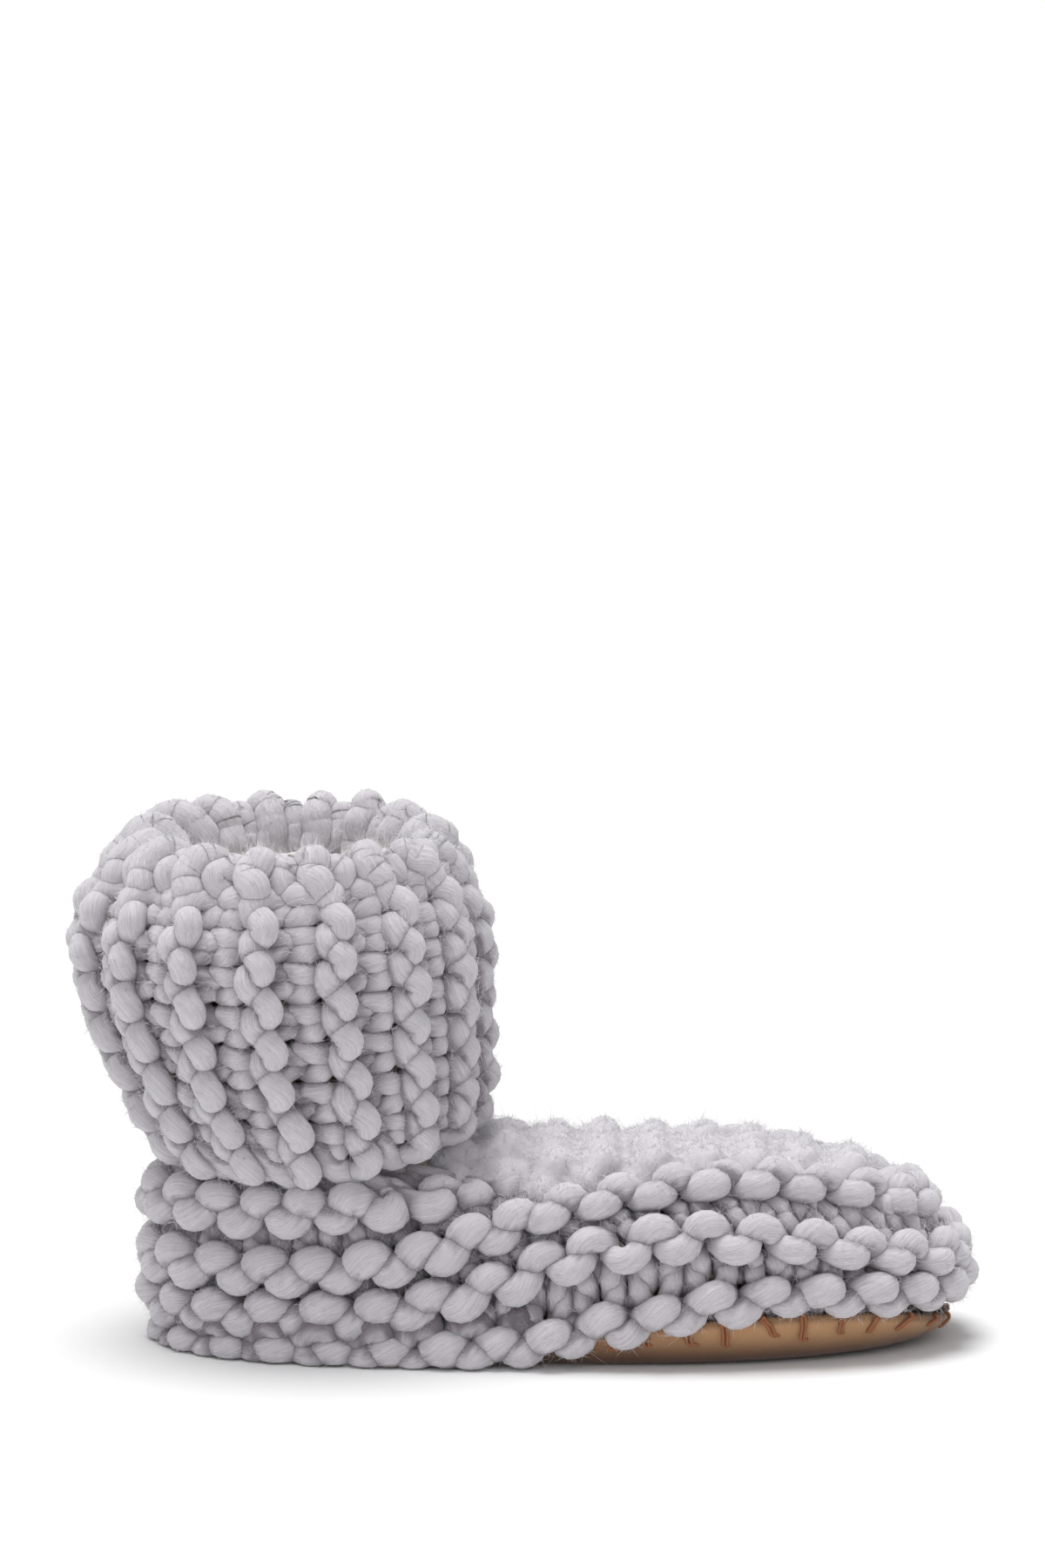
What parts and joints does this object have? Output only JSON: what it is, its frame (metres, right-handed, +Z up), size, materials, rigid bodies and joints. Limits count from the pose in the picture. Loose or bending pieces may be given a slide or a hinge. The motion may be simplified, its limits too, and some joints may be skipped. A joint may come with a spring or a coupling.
{
  "type": "boot slipper",
  "caption": "Ankle-high house slipper knitted in thick grey roving, with a turned-down ribbed cuff, a cream plush inside and a thin stitched-on leather sole.",
  "frame": {"origin": "centre of the whole shoe's footprint box, on the surface that the sole stands on", "axes": "+X to the toe, +Y to the shoe's left side, +Z up"},
  "size_m": [0.2685, 0.1104, 0.1528],
  "materials": {
    "knit_wool": "thick single-ply roving, matt, with a fine halo of loose fibres",
    "sole_leather": "undyed tan leather, matt, slightly worn at the edge",
    "plush_lining": "cream fleece, deep and matt",
    "stitch_thread": "waxed rust-brown thread"
  },
  "bodies": {
    "root": {"sole": "sole_leather", "insole": "plush_lining", "upper": "knit_wool", "cuff": "knit_wool"}
  },
  "joints": []
}
